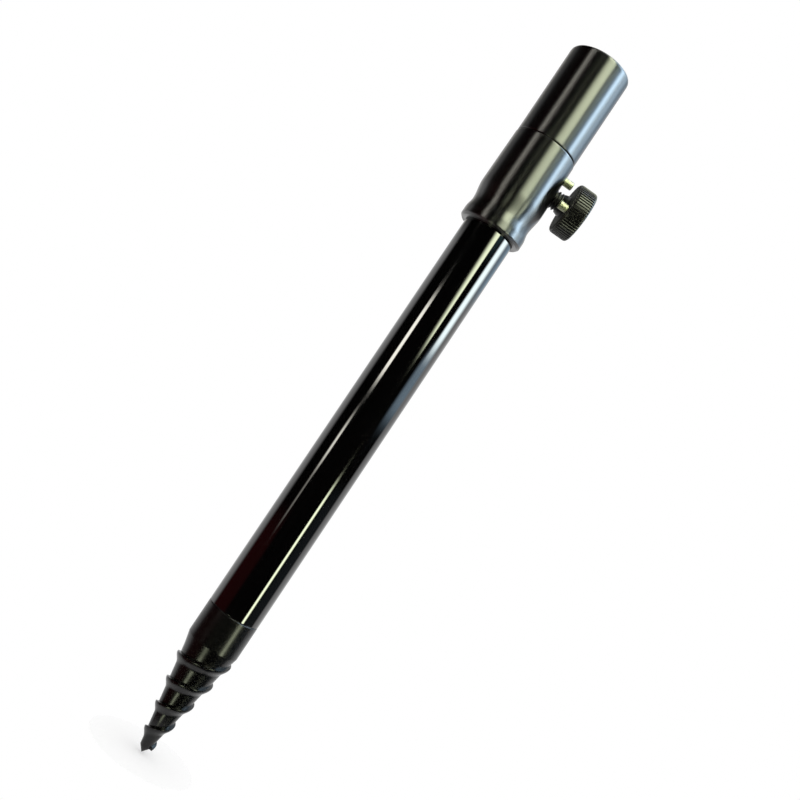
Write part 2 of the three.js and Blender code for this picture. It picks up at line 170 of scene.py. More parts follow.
def high(node):
    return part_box(node)[1] / MM


def foot(node):
    return low(node).z


def top(node):
    return high(node).z


def reach(node):
    """The radius of a node that stands round the stick's axis, away from the thumbscrew."""
    return -low(node).x


def middle_height(node):
    return (foot(node) + top(node)) / 2


def cross_radius(node):
    """The radius of a round node that stands along the thumbscrew."""
    return (top(node) - foot(node)) / 2


tube_radius = reach("outer_tube")
inner_radius = reach("inner_tube")
joint_height = foot("outer_tube")
collar_foot = foot("collar")
screw_axis = middle_height("thumbscrew_knob")
shoulder_radius = tube_radius + SHOULDER_WALL
screw_hole = SCREW_DIAMETER / 2 + RUNNING
knob_start = low("thumbscrew_knob").x
knob_end = high("thumbscrew_knob").x
dish_floor = knob_end - DISH_DEPTH

# Where the knob's pin is, from the screw's axis towards -Z and towards +Y
knob_pin_down = screw_axis - middle_height("knob_stop_pin")
knob_pin_back = (low("knob_stop_pin").y + high("knob_stop_pin").y) / 2


# Outlines: lists of (radius, height) or (radius, height, rounding) corners, with the
# solid on the left. They are in millimetres. A corner without a rounding gets FINE_EDGE

def outward(a, b):
    """The outward normal of an outline's side from a to b."""
    along = (b - a).normalized()
    return Vector((along.y, -along.x))


def rounded(corners, closed):
    """Points and outward normals of an outline, with a small curve at each of its corners."""
    places = [Vector(corner[:2]) for corner in corners]
    count = len(places)
    points, normals = [], []
    for i, place in enumerate(places):
        if not closed and i in (0, count - 1):
            side = places[-2:] if i else places[:2]
            points.append(place)
            normals.append(outward(*side))
            continue
        before, after = places[i - 1], places[(i + 1) % count]
        back, ahead = before - place, after - place
        rounding = corners[i][2] if len(corners[i]) > 2 else FINE_EDGE
        size = min(rounding, ROUNDING_LIMIT * back.length, ROUNDING_LIMIT * ahead.length)
        start = place + back.normalized() * size
        end = place + ahead.normalized() * size
        first, last = outward(before, place), outward(place, after)
        for step in range(ARC_STEPS + 1):
            share = step / ARC_STEPS
            points.append(
                start * (1 - share) ** 2 + place * 2 * share * (1 - share) + end * share**2
            )
            normals.append((first * (1 - share) + last * share).normalized())
    return points, normals


def even_angles(steps):
    return [TAU * i / steps for i in range(steps + 1)]


def grid_faces(columns, rows, closed=False):
    """Quads between columns of points. Where closed, the last row joins the first."""
    faces = []
    for i in range(columns - 1):
        for j in range(rows if closed else rows - 1):
            k = (j + 1) % rows
            faces.append((i * rows + j, (i + 1) * rows + j, (i + 1) * rows + k, i * rows + k))
    return faces


def grid_mesh(name, angles, outline_at, closed):
    """A mesh of one outline for each angle about +Z, the last angle being the first one again."""
    rings = [outline_at(angle) for angle in angles]
    coordinates = [
        (r * MM * math.cos(a), r * MM * math.sin(a), z * MM)
        for a, ring in zip(angles, rings)
        for r, z in ring
    ]
    mesh = bpy.data.meshes.new(name)
    mesh.from_pydata(coordinates, [], grid_faces(len(angles), len(rings[0]), closed))
    work = bmesh.new()
    work.from_mesh(mesh)
    bmesh.ops.remove_doubles(work, verts=work.verts, dist=WELD * MM)
    bmesh.ops.dissolve_degenerate(work, dist=SLIVER * MM, edges=work.edges)
    work.to_mesh(mesh)
    work.free()
    return mesh


def shown(name, mesh):
    piece = bpy.data.objects.new(name, mesh)
    bpy.context.scene.collection.objects.link(piece)
    return piece


def shade_by_outline(mesh, points, normals, closed):
    """Gives each corner of a turned mesh the outline's own normal, and leaves cut faces flat."""
    if closed:
        points, normals = points + points[:1], normals + normals[:1]
    outline, facing = np.array(points), np.array(normals)
    count = len(mesh.vertices)
    place = np.empty(count * 3)
    mesh.vertices.foreach_get("co", place)
    place = place.reshape(-1, 3) / MM
    radius = np.hypot(place[:, 0], place[:, 1])
    flat = np.stack([radius, place[:, 2]], axis=1)
    start, step = outline[:-1], np.diff(outline, axis=0)
    squared = np.maximum((step**2).sum(1), TINY)
    share = ((flat[:, None] - start[None]) * step[None]).sum(2) / squared
    share = np.clip(share, 0, 1)
    gap = flat[:, None] - (start[None] + share[..., None] * step[None])
    nearest = (gap**2).sum(2).argmin(1)
    share = share[np.arange(count), nearest][:, None]
    normal = facing[nearest] * (1 - share) + facing[nearest + 1] * share
    normal /= np.linalg.norm(normal, axis=1)[:, None]
    around = place[:, :2] / np.maximum(radius, TINY)[:, None]
    smooth = np.concatenate([around * normal[:, :1], normal[:, 1:]], axis=1)
    corners = []
    for face in mesh.polygons:
        own = np.array(face.normal)
        for vertex in face.vertices:
            wanted = smooth[vertex]
            corners.append(wanted if wanted @ own > CUT_FACE_COSINE else own)
    mesh.shade_smooth()
    mesh.normals_split_custom_set(np.array(corners).tolist())


def smooth_by_angle(mesh):
    mesh.shade_smooth()
    mesh.set_sharp_from_angle(angle=SMOOTH_ANGLE)


def turned(name, corners, closed=False, steps=LARGE_STEPS, cutters=()):
    """A turned piece, cut by any cutters and shaded by its outline."""
    points, normals = rounded(corners, closed)
    outline = [tuple(point) for point in points]
    mesh = grid_mesh(name, even_angles(steps), lambda angle: outline, closed)
    piece = shown(name, mesh)
    cut(piece, cutters)
    shade_by_outline(piece.data, points, normals, closed)
    return piece


def cut(piece, cutters):
    """Cuts the cutters out of the piece, and removes them."""
    for cutter in cutters:
        boolean = piece.modifiers.new("cut", "BOOLEAN")
        boolean.operation = "DIFFERENCE"
        boolean.solver = "EXACT"
        boolean.object = cutter
        dressed = piece.evaluated_get(bpy.context.evaluated_depsgraph_get())
        mesh = bpy.data.meshes.new_from_object(dressed)
        piece.modifiers.clear()
        piece.data = mesh
        bpy.data.objects.remove(cutter)


def drill(radius, start, end, matrix=None):
    """A round cutter along +Z, moved by the matrix."""
    corners = [(0, start), (radius, start), (radius, end), (0, end)]
    mesh = grid_mesh("cutter", even_angles(SMALL_STEPS), lambda angle: corners, False)
    if matrix:
        mesh.transform(matrix)
    return shown("cutter", mesh)


def crosswise(height, down=0, back=0):
    """Turns +Z onto +X at a height, moved down towards -Z and back towards +Y."""
    turn = Matrix.Rotation(math.pi / 2, 4, "Y")
    return (
        Matrix.Translation((0, 0, height * MM))
        @ turn
        @ Matrix.Translation((down * MM, back * MM, 0))
    )


def helical_rows(angle, start, end, pitch, mark, radius_at, shares, mark_angle=0):
    """One side of a threaded surface from start to end: a row for each share of each turn.

    mark is the height of a crest at mark_angle.
    """
    base = mark + pitch * (angle - mark_angle) / TAU
    first = math.floor((start - mark) / pitch) - TURN_MARGIN
    last = math.ceil((end - mark) / pitch) + TURN_MARGIN
    rows = []
    for turn in range(first, last):
        for share in shares:
            height = clamped(base + (turn + share) * pitch, start, end)
            rows.append((radius_at(height, base), height))
    return rows


# Screw point

def core_radius(height):
    core_length = THREAD_LENGTH - CORE_SHOULDER
    end = tube_radius - CORE_STEP
    if height > core_length:
        return end + CORE_STEP * min((height - core_length) / CORE_SHOULDER, 1)
    return CORE_START_RADIUS + (end - CORE_START_RADIUS) * height / core_length


def crest_radius(height):
    share = height / CREST_LENGTH
    radius = CREST_START_RADIUS + (tube_radius - CREST_START_RADIUS) * share
    return min(radius, tube_radius - FIT)


def ridge_radius(height, base):
    """The surface at a height where crests stand at base and whole pitches from it."""
    core = core_radius(height)
    turns = (height - base) / RIDGE_PITCH
    below = base + math.floor(turns + TURN_SLACK) * RIDGE_PITCH
    above = below + RIDGE_PITCH
    up = (height - below) / RIDGE_PITCH
    down = (above - height) / RIDGE_PITCH
    radius = core
    if up < LEDGE_SHARE and below >= RIDGE_START:
        fall = clamped((up - LAND_SHARE) / (LEDGE_SHARE - LAND_SHARE))
        radius = crest_radius(below) * (1 - fall) + core * fall
    elif down < FLANK_SHARE and above >= RIDGE_START:
        share = smoothstep(down / FLANK_SHARE)
        flank_foot = core_radius(above - FLANK_SHARE * RIDGE_PITCH)
        radius = crest_radius(above) * (1 - share) + flank_foot * share
    return clamped(radius, core, tube_radius)


def screw_point():
    spigot = tube_radius - TUBE_WALL - FIT
    spigot_top = top("screw_point")
    flank_rows = 1 - FLANK_SHARE * np.linspace(1, TOP_FLANK_ROW, FLANK_ROWS)
    shares = [0, LAND_SHARE, LEDGE_SHARE, *GROOVE_SHARES, *flank_rows]
    body = [
        *((tube_radius, THREAD_LENGTH + row) for row in CYLINDER_ROWS),
        (tube_radius, joint_height - 2 * JOINT_CHAMFER),
        (tube_radius, joint_height - JOINT_CHAMFER),
        (tube_radius - JOINT_CHAMFER, joint_height),
        (spigot, joint_height),
        (spigot, spigot_top - SPIGOT_CHAMFER),
        (spigot - SPIGOT_CHAMFER, spigot_top),
        (0, spigot_top),
    ]

    def outline(angle):
        thread = helical_rows(
            angle,
            TIP_LENGTH,
            THREAD_LENGTH,
            RIDGE_PITCH,
            RIDGE_MARK,
            ridge_radius,
            shares,
            mark_angle=RIDGE_MARK_ANGLE,
        )
        tip = [(0, 0), TIP_BLUNTING, (core_radius(TIP_LENGTH), TIP_LENGTH)]
        return [*tip, *thread, *body]

    mesh = grid_mesh("point", even_angles(LARGE_STEPS), outline, False)
    smooth_by_angle(mesh)
    return shown("point", mesh)


# Tubes, collar and head

def outer_tube():
    bore = tube_radius - TUBE_WALL
    end = top("outer_tube")
    return turned(
        "tube",
        [
            (bore, joint_height),
            (tube_radius - JOINT_CHAMFER, joint_height),
            (tube_radius, joint_height + JOINT_CHAMFER),
            (tube_radius, end),
            (bore, end),
        ],
        closed=True,
    )


def inner_tube():
    bore = inner_radius - INNER_WALL
    start, end = foot("inner_tube"), top("inner_tube")
    return turned(
        "stage_tube",
        [
            (bore, start),
            (inner_radius, start, SOFT_EDGE),
            (inner_radius, end),
            (bore, end),
        ],
        closed=True,
    )


def waist_curve(wall, height):
    """One side of the collar's waist, up or down to a wall at a height above its foot."""
    points = []
    for i in range(1, WAIST_STEPS + 1):
        share = i / WAIST_STEPS
        radius = tube_radius + WAIST_WALL + (wall - WAIST_WALL) * smoothstep(share)
        points.append((radius, collar_foot + WAIST_HEIGHT + (height - WAIST_HEIGHT) * share))
    return points


def collar():
    lip = tube_radius + LIP_WALL
    upper = tube_radius + TOP_WALL
    seat = tube_radius + FIT
    rib = inner_radius + RIB_CLEARANCE
    pocket = reach("collar_bush") + FIT
    rib_top = foot("collar_bush")
    rib_foot = top("outer_tube")
    outside = shoulder_radius + OVERRUN
    pin_hole = cross_radius("collar_stop_pin") + FIT
    pin_floor = low("collar_stop_pin").x - FIT
    cutters = [
        drill(screw_hole, 0, outside, crosswise(screw_axis)),
        drill(pin_hole, pin_floor, outside, crosswise(middle_height("collar_stop_pin"))),
    ]
    return turned(
        "sleeve",
        [
            (seat, collar_foot, SOFT_EDGE),
            (lip - LIP_CHAMFER, collar_foot, SOFT_EDGE),
            (lip, collar_foot + LIP_CHAMFER, 2 * SOFT_EDGE),
            *reversed(waist_curve(LIP_WALL, FLARE_HEIGHT)),
            (tube_radius + WAIST_WALL, collar_foot + WAIST_HEIGHT),
            *waist_curve(SHOULDER_WALL, SHOULDER_HEIGHT),
            (upper, top("collar"), SEAM_EDGE),
            (pocket, top("collar")),
            (pocket, rib_top),
            (rib, rib_top),
            (rib, rib_foot),
            (seat, rib_foot),
        ],
        closed=True,
        cutters=cutters,
    )


def head():
    radius = reach("head")
    tube_hole = inner_radius + FIT
    insert_hole = reach("head_insert") + FIT
    insert_foot = foot("head_insert")
    bore_top = insert_foot - FIT - HEAD_WEB
    return turned(
        "cap",
        [
            (0, bore_top),
            (tube_hole, bore_top),
            (tube_hole, foot("head")),
            (radius, foot("head"), SEAM_EDGE),
            (radius, top("head"), HEAD_ROUND),
            (insert_hole, top("head"), SOFT_EDGE),
            (insert_hole, insert_foot - FIT),
            (0, insert_foot - FIT),
        ],
    )


def thread_radius(crest, root, height, base, pitch):
    """A vee thread between two radii, with its crests at base and whole pitches from it."""
    turns = (height - base) / pitch
    away = abs(turns - round(turns))
    share = clamped((away - THREAD_CREST_SHARE) / (THREAD_ROOT_SHARE - THREAD_CREST_SHARE))
    return crest * (1 - share) + root * share


# Rows of a vee thread, in shares of its pitch from a crest to the next
VEE_MIDDLE_SHARE = (THREAD_CREST_SHARE + THREAD_ROOT_SHARE) / 2
VEE_SHARES = (
    0,
    THREAD_CREST_SHARE,
    VEE_MIDDLE_SHARE,
    THREAD_ROOT_SHARE,
    1 - THREAD_ROOT_SHARE,
    1 - VEE_MIDDLE_SHARE,
    1 - THREAD_CREST_SHARE,
)


def head_insert():
    outside = reach("head_insert")
    start, end = foot("head_insert"), top("head_insert")
    crest = SOCKET_DIAMETER / 2
    root = crest + SOCKET_THREAD_DEPTH
    mouth = end - SOCKET_CHAMFER

    def radius_at(height, base):
        return thread_radius(crest, root, height, base, SOCKET_PITCH)

    def outline(angle):
        thread = helical_rows(angle, start, mouth, SOCKET_PITCH, start, radius_at, VEE_SHARES)
        return [
            (outside, start),
            (outside, end - SOFT_EDGE),
            (outside - SOFT_EDGE, end),
            (crest + SOCKET_CHAMFER, end),
            *reversed(thread),
        ]

    mesh = grid_mesh("insert", even_angles(SMALL_STEPS), outline, True)
    smooth_by_angle(mesh)
    return shown("insert", mesh)


# Foot of the inner stage, sleeve and rubber ring

def foot_plug():
    spigot = inner_radius - INNER_WALL - FIT
    neck = inner_radius - INNER_WALL - NECK_STEP
    start, end = foot("foot_plug"), top("foot_plug")
    flange_top = start + FLANGE_LENGTH
    neck_top = foot("inner_tube")
    return turned(
        "plug",
        [
            (0, start),
            (inner_radius, start, SOFT_EDGE),
            (inner_radius, flange_top, SOFT_EDGE),
            (neck, flange_top),
            (neck, neck_top),
            (spigot, neck_top),
            (spigot, end, SOFT_EDGE),
            (0, end),
        ],
    )


def plain_ring(name, node, bore):
    outside = reach(node)
    return turned(
        name,
        [
            (bore, foot(node), SOFT_EDGE),
            (outside, foot(node), SOFT_EDGE),
            (outside, top(node), SOFT_EDGE),
            (bore, top(node), SOFT_EDGE),
        ],
        closed=True,
    )


def wiper_ring():
    cord = (top("wiper_ring") - foot("wiper_ring")) / 2
    centre = reach("wiper_ring") - cord
    height = foot("wiper_ring") + cord
    corners = []
    for i in range(CORD_STEPS):
        angle = TAU * i / CORD_STEPS
        radius = centre + cord * math.cos(angle)
        corners.append((radius, height + cord * math.sin(angle), cord))
    return turned("seal", corners, closed=True)


# Thumbscrew

def pin(name, node, matrix):
    """A round piece with chamfered ends, as long and wide as a node along the thumbscrew."""
    start, end = low(node).x, high(node).x
    radius = cross_radius(node)
    piece = turned(
        name,
        [
            (0, start),
            (radius - PIN_CHAMFER, start, FINE_EDGE),
            (radius, start + PIN_CHAMFER, FINE_EDGE),
            (radius, end - PIN_CHAMFER, FINE_EDGE),
            (radius - PIN_CHAMFER, end, FINE_EDGE),
            (0, end),
        ],
        steps=SMALL_STEPS,
    )
    piece.data.transform(matrix)
    return piece


def thumbscrew_stud():
    radius = SCREW_DIAMETER / 2
    root = radius - SCREW_THREAD_DEPTH
    hub = cross_radius("thumbscrew_stud")
    core = STUD_CORE_DIAMETER / 2
    start, end = low("thumbscrew_stud").x, high("thumbscrew_stud").x
    hub_end = knob_start + HUB_POCKET_DEPTH - SEAT
    hub_start = hub_end - HUB_LENGTH
    shank_end = hub_start - HUB_CONE_LENGTH

    def radius_at(height, base):
        return thread_radius(radius, root, height, base, SCREW_PITCH)

    def outline(angle):
        thread = helical_rows(
            angle, start + SOFT_EDGE, shank_end, SCREW_PITCH, start, radius_at, VEE_SHARES
        )
        return [
            (0, start),
            (root - SOFT_EDGE, start),
            *thread,
            (radius, shank_end),
            (hub - FINE_EDGE, hub_start - FINE_EDGE),
            (hub, hub_start + FINE_EDGE),
            (hub, hub_end),
            (core, hub_end),
            (core, end - SOFT_EDGE),
            (core - SOFT_EDGE, end),
            (0, end),
        ]

    mesh = grid_mesh("stud", even_angles(SMALL_STEPS), outline, False)
    smooth_by_angle(mesh)
    mesh.transform(crosswise(screw_axis))
    return shown("stud", mesh)


def knurled_radius(radius, share):
    """The radius at a share of one knurl, from its root round to the next."""
    away = min(share, 1 - share)
    rise = clamped((away - KNURL_ROOT_EDGE) / (KNURL_CREST_EDGE - KNURL_ROOT_EDGE))
    return radius - KNURL_DEPTH * (1 - rise)


def thumbscrew_knob():
    radius = cross_radius("thumbscrew_knob")
    hub = cross_radius("thumbscrew_stud") + FIT
    core = STUD_CORE_DIAMETER / 2 + FIT
    pocket = knob_start + HUB_POCKET_DEPTH
    bottom = dish_floor - KNOB_WEB
    dish = DISH_DIAMETER / 2
    corners = [
        (0, bottom),
        (core, bottom),
        (core, pocket),
        (hub, pocket),
        (hub, knob_start, SOFT_EDGE),
        (radius, knob_start, INNER_ROUND),
        (radius, knob_end, OUTER_ROUND),
        (dish + DISH_DEPTH, knob_end, SOFT_EDGE),
        (dish, dish_floor, SOFT_EDGE),
        (0, dish_floor),
    ]
    points, normals = rounded(corners, False)
    angles = [
        TAU * (knurl + share) / KNURLS for knurl in range(KNURLS) for share in KNURL_SHARES
    ]

    def outline(angle):
        limit = knurled_radius(radius, (angle * KNURLS / TAU) % 1)
        return [(min(point.x, limit), point.y) for point in points]

    mesh = grid_mesh("knob", [*angles, TAU], outline, False)
    piece = shown("knob", mesh)
    pin_hole = cross_radius("knob_stop_pin") + FIT
    pin_floor = high("knob_stop_pin").x + FIT
    hole_place = Matrix.Translation((knob_pin_down * MM, knob_pin_back * MM, 0))
    cut(piece, [drill(pin_hole, knob_start - OVERRUN, pin_floor, hole_place)])
    shade_by_outline(piece.data, points, normals, False)
    piece.data.transform(crosswise(screw_axis))
    return piece


# Materials

class Nodes:
    """Short ways to add nodes to a tree and join them."""

    def __init__(self, tree):
        self.tree = tree

    def add(self, kind, **settings):
        node = self.tree.nodes.new(kind)
        for key, value in settings.items():
            setattr(node, key, value)
        return node

    def join(self, value, socket):
        if isinstance(value, bpy.types.NodeSocket):
            self.tree.links.new(value, socket)
        elif value is not None:
            socket.default_value = value

    def math(self, operation, *values):
        node = self.add("ShaderNodeMath", operation=operation)
        for value, socket in zip(values, node.inputs):
            self.join(value, socket)
        return node.outputs[0]

    def vector(self, operation, *values, output=0):
        node = self.add("ShaderNodeVectorMath", operation=operation)
        for value, socket in zip(values, node.inputs):
            self.join(value, socket)
        return node.outputs[output]

    def scaled(self, colour, amount):
        node = self.add("ShaderNodeVectorMath", operation="SCALE")
        self.join(colour, node.inputs[0])
        self.join(amount, node.inputs["Scale"])
        return node.outputs[0]

    def ramp(self, value, start, end, low=0, high=1):
        """Goes smoothly from low to high while the value goes from start to end."""
        node = self.add("ShaderNodeMapRange", interpolation_type="SMOOTHSTEP")
        for item, socket in zip((value, start, end, low, high), node.inputs):
            self.join(item, socket)
        return node.outputs[0]

    def noise(self, place, detail, scale=1):
        node = self.add("ShaderNodeTexNoise")
        self.join(place, node.inputs["Vector"])
        node.inputs["Scale"].default_value = scale
        node.inputs["Detail"].default_value = detail
        return node.outputs["Fac"]

    def mix(self, share, first, second):
        """Mixes two colours, at the node's colour sockets."""
        node = self.add("ShaderNodeMix", data_type="RGBA")
        self.join(share, node.inputs[0])
        self.join((*first, 1), node.inputs[6])
        self.join((*second, 1), node.inputs[7])
        return node.outputs[2]


def new_material(name):
    material = bpy.data.materials.new(name)
    material.use_nodes = True
    nodes = Nodes(material.node_tree)
    shader = material.node_tree.nodes["Principled BSDF"]
    return material, nodes, shader


AXES = {"X": (1, 0, 0), "Z": (0, 0, 1)}

# Noise steps to a metre, along a piece's axis and across it
TURNING_MARKS = (5000, 40)
DYE_PATCHES = (60, 160)
STEEL_MARKS = (6000, 60)
STEEL_STAINS = (900, 900)
MOULD_CLOUDS = 400  # in every direction

# Values of a noise: their middle, and the stretches over which one colour or roughness
# turns into the other
NOISE_MIDDLE = 0.5
EVEN_MIX = (0.3, 0.7)
STAIN_MIX = (0.35, 0.75)
GRAIN_MIX = (0.2, 0.8)

STEEL_ROUGHNESS = (0.8, 1.3)  # least and most, times a steel's own
MOULD_ROUGHNESS = (0.85, 1.15)  # the same for a moulding
DULL_END_COSINES = (0.5, 0.95)  # to the axis, over which a face turns into an end
ANODISED_MARK_DEPTH = 0.01
STEEL_MARK_DEPTH = 0.02
MOULD_BUMP = 0.4  # strength of the bump


def stretched(nodes, axis, along, across):
    """Object coordinates scaled along one axis and across it."""
    scale = [across, across, across]
    scale["XYZ".index(axis)] = along
    place = nodes.add("ShaderNodeTexCoord").outputs["Object"]
    return nodes.vector("MULTIPLY", place, scale)


def mottle(nodes, shader, pattern, stretch, colour, tint):
    """Lets the base colour go from a colour to a tint over a stretch of a pattern's values."""
    mixed = nodes.mix(nodes.ramp(pattern, *stretch), colour, tint)
    nodes.join(mixed, shader.inputs["Base Color"])


def vary_roughness(nodes, shader, pattern, roughness, shares):
    """Lets the roughness follow a pattern, between two shares of its own value."""
    rough = nodes.ramp(pattern, *GRAIN_MIX, *(roughness * share for share in shares))
    nodes.join(rough, shader.inputs["Roughness"])


def emboss(nodes, shader, height, strength, depth):
    """A bump of a depth in millimetres."""
    bump = nodes.add("ShaderNodeBump")
    bump.inputs["Strength"].default_value = strength
    bump.inputs["Distance"].default_value = depth * MM
    nodes.join(height, bump.inputs["Height"])
    nodes.join(bump.outputs[0], shader.inputs["Normal"])


def anodised(
    name, colour, tint, roughness, marks, grain, anisotropy=0.0, axis="Z", ior=1.8, dull_ends=0.0
):
    """Black anodised aluminium: a thin clear oxide over a dyed one, with turning marks round an axis.

    marks is how deep the turning marks look, grain how much the roughness varies, and
    dull_ends how much rougher the faces square to the axis are.
    """
    material, nodes, shader = new_material(name)
    shader.inputs["IOR"].default_value = ior
    shader.inputs["Anisotropic"].default_value = anisotropy
    shader.inputs["Anisotropic Rotation"].default_value = 0.25
    if anisotropy:
        tangent = nodes.add("ShaderNodeTangent", direction_type="RADIAL", axis=axis)
        nodes.join(tangent.outputs[0], shader.inputs["Tangent"])
    lines = nodes.noise(stretched(nodes, axis, *TURNING_MARKS), detail=2)
    patches = nodes.noise(stretched(nodes, axis, *DYE_PATCHES), detail=4)
    mottle(nodes, shader, patches, EVEN_MIX, colour, tint)
    worn = nodes.math("MULTIPLY", nodes.math("SUBTRACT", patches, NOISE_MIDDLE), grain)
    ringed = nodes.math("MULTIPLY", nodes.math("SUBTRACT", lines, NOISE_MIDDLE), grain)
    rough = nodes.math("ADD", nodes.math("ADD", worn, ringed), roughness)
    if dull_ends:
        way = nodes.add("ShaderNodeTexCoord").outputs["Normal"]
        square = nodes.vector("DOT_PRODUCT", way, AXES[axis], output="Value")
        ends = nodes.ramp(nodes.math("ABSOLUTE", square), *DULL_END_COSINES, 0, dull_ends)
        rough = nodes.math("ADD", rough, ends)
    nodes.join(rough, shader.inputs["Roughness"])
    emboss(nodes, shader, lines, marks, ANODISED_MARK_DEPTH)
    return material


def metal(name, colour, tint, roughness, marks, axis):
    """Bare or plated steel with turning marks round an axis."""
    material, nodes, shader = new_material(name)
    shader.inputs["Metallic"].default_value = 1
    lines = nodes.noise(stretched(nodes, axis, *STEEL_MARKS), detail=2)
    stains = nodes.noise(stretched(nodes, axis, *STEEL_STAINS), detail=4)
    mottle(nodes, shader, stains, STAIN_MIX, colour, tint)
    vary_roughness(nodes, shader, stains, roughness, STEEL_ROUGHNESS)
    emboss(nodes, shader, lines, marks, STEEL_MARK_DEPTH)
    return material


def moulded(name, colour, tint, roughness, grain_scale, depth):
    """Plain moulded plastic or rubber with a fine grain."""
    material, nodes, shader = new_material(name)
    place = nodes.add("ShaderNodeTexCoord").outputs["Object"]
    clouds = nodes.noise(place, detail=4, scale=MOULD_CLOUDS)
    grain = nodes.noise(place, detail=6, scale=grain_scale)
    mottle(nodes, shader, clouds, EVEN_MIX, colour, tint)
    vary_roughness(nodes, shader, grain, roughness, MOULD_ROUGHNESS)
    emboss(nodes, shader, grain, MOULD_BUMP, depth)
    return material


gloss_black = anodised(
    "gloss_black",
    colour=(0.0007, 0.0007, 0.0008),
    tint=(0.0012, 0.001, 0.001),
    roughness=0.06,
    marks=0.03,
    grain=0.02,
)
satin_black = anodised(
    "satin_black",
    colour=(0.0008, 0.0008, 0.0008),
    tint=(0.0016, 0.0015, 0.0012),
    roughness=0.3,
    marks=0.15,
    grain=0.04,
    anisotropy=1.0,
)
point_black = anodised(
    "point_black",
    colour=(0.0008, 0.0007, 0.0007),
    tint=(0.0016, 0.0012, 0.0012),
    roughness=0.26,
    marks=0.1,
    grain=0.04,
    ior=1.4,
)
knob_black = anodised(
    "knob_black",
    colour=(0.004, 0.004, 0.003),
    tint=(0.009, 0.009, 0.007),
    roughness=0.28,
    marks=0.3,
    grain=0.08,
    axis="X",
    ior=1.5,
    dull_ends=0.5,
)
screw_black = anodised(
    "screw_black",
    colour=(0.003, 0.003, 0.003),
    tint=(0.006, 0.005, 0.004),
    roughness=0.36,
    marks=0.3,
    grain=0.1,
    axis="X",
    ior=1.4,
)
pale_pin = metal(
    "pale_pin",
    colour=(0.38, 0.39, 0.28),
    tint=(0.31, 0.32, 0.22),
    roughness=0.5,
    marks=0.3,
    axis="X",
)
plain_steel = metal(
    "plain_steel",
    colour=(0.5, 0.5, 0.51),
    tint=(0.42, 0.42, 0.42),
    roughness=0.28,
    marks=0.5,
    axis="Z",
)
pale_plastic = moulded(
    "pale_plastic",
    colour=(0.68, 0.65, 0.58),
    tint=(0.62, 0.59, 0.52),
    roughness=0.45,
    grain_scale=3000,
    depth=0.02,
)
black_rubber = moulded(
    "black_rubber",
    colour=(0.015, 0.015, 0.015),
    tint=(0.03, 0.03, 0.03),
    roughness=0.7,
    grain_scale=6000,
    depth=0.03,
)


# Pieces, each with its material, the CAD node it stands for and the body it rides on

def dress(piece, material, node, body):
    piece.data.materials.clear()
    piece.data.materials.append(material)
    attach(piece, body)
    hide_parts(node)


knob_pin_place = crosswise(screw_axis, down=knob_pin_down, back=knob_pin_back)
collar_pin_place = crosswise(middle_height("collar_stop_pin"))
sleeve_bore = inner_radius + RUNNING
guide_bore = inner_radius - INNER_WALL - NECK_STEP + RUNNING

dress(screw_point(), point_black, "screw_point", "outer")
dress(outer_tube(), gloss_black, "outer_tube", "outer")
dress(collar(), satin_black, "collar", "outer")
dress(
    plain_ring("sleeve_bush", "collar_bush", sleeve_bore),
    pale_plastic,
    "collar_bush",
    "outer",
)
dress(wiper_ring(), black_rubber, "wiper_ring", "outer")
dress(
    pin("sleeve_pin", "collar_stop_pin", collar_pin_place),
    pale_pin,
    "collar_stop_pin",
    "outer",
)
dress(
    plain_ring("foot_bush", "guide_bush", guide_bore),
    pale_plastic,
    "guide_bush",
    "guide",
)
dress(inner_tube(), gloss_black, "inner_tube", "inner_stage")
dress(foot_plug(), pale_plastic, "foot_plug", "inner_stage")
dress(head(), satin_black, "head", "inner_stage")
dress(head_insert(), plain_steel, "head_insert", "inner_stage")
dress(
    pin("pad", "clamp_pad", crosswise(screw_axis)),
    pale_plastic,
    "clamp_pad",
    "clamp",
)
dress(thumbscrew_stud(), screw_black, "thumbscrew_stud", "thumbscrew")
dress(thumbscrew_knob(), knob_black, "thumbscrew_knob", "thumbscrew")
dress(
    pin("knob_pin", "knob_stop_pin", knob_pin_place),
    pale_pin,
    "knob_stop_pin",
    "thumbscrew",
)


# Floor: a small pale disc under the point. Camera, mirrored and transmitted rays see it
# as white as the backdrop, less the part's shadow

FLOOR_RADIUS = 20 * MM
FLOOR_STEPS = 96
FLOOR_PALE = 0.8
FLOOR_GLOW = 0.25  # on top of the light that it gives back, up to white


def floor():
    mesh = bpy.data.meshes.new("floor")
    work = bmesh.new()
    bmesh.ops.create_circle(work, cap_ends=True, radius=FLOOR_RADIUS, segments=FLOOR_STEPS)
    work.to_mesh(mesh)
    work.free()
    mesh.transform(Matrix.Translation((0, 0, -FIT * MM)))
    material, nodes, shader = new_material("floor")
    shader.inputs["Base Color"].default_value = (FLOOR_PALE, FLOOR_PALE, FLOOR_PALE, 1)
    shader.inputs["Roughness"].default_value = 0.9
    shader.inputs["Specular IOR Level"].default_value = 0
    shader.inputs["Emission Color"].default_value = (1, 1, 1, 1)
    rays = nodes.add("ShaderNodeLightPath").outputs
    seen = nodes.math("MAXIMUM", rays["Is Camera Ray"], rays["Is Glossy Ray"])
    seen = nodes.math("MAXIMUM", seen, rays["Is Transmission Ray"])
    nodes.join(nodes.math("MULTIPLY", seen, FLOOR_GLOW), shader.inputs["Emission Strength"])
    mesh.materials.append(material)
    shown("floor", mesh)


floor()


# Studio: a white backdrop on all sides, which also gives the diffuse light, and round
# the part's front and sides a dark surround with soft windows. The surround is open
# towards the back, where the part mirrors the backdrop. Azimuth is in degrees round the
# stick from the camera, to the right; elevation is above the level

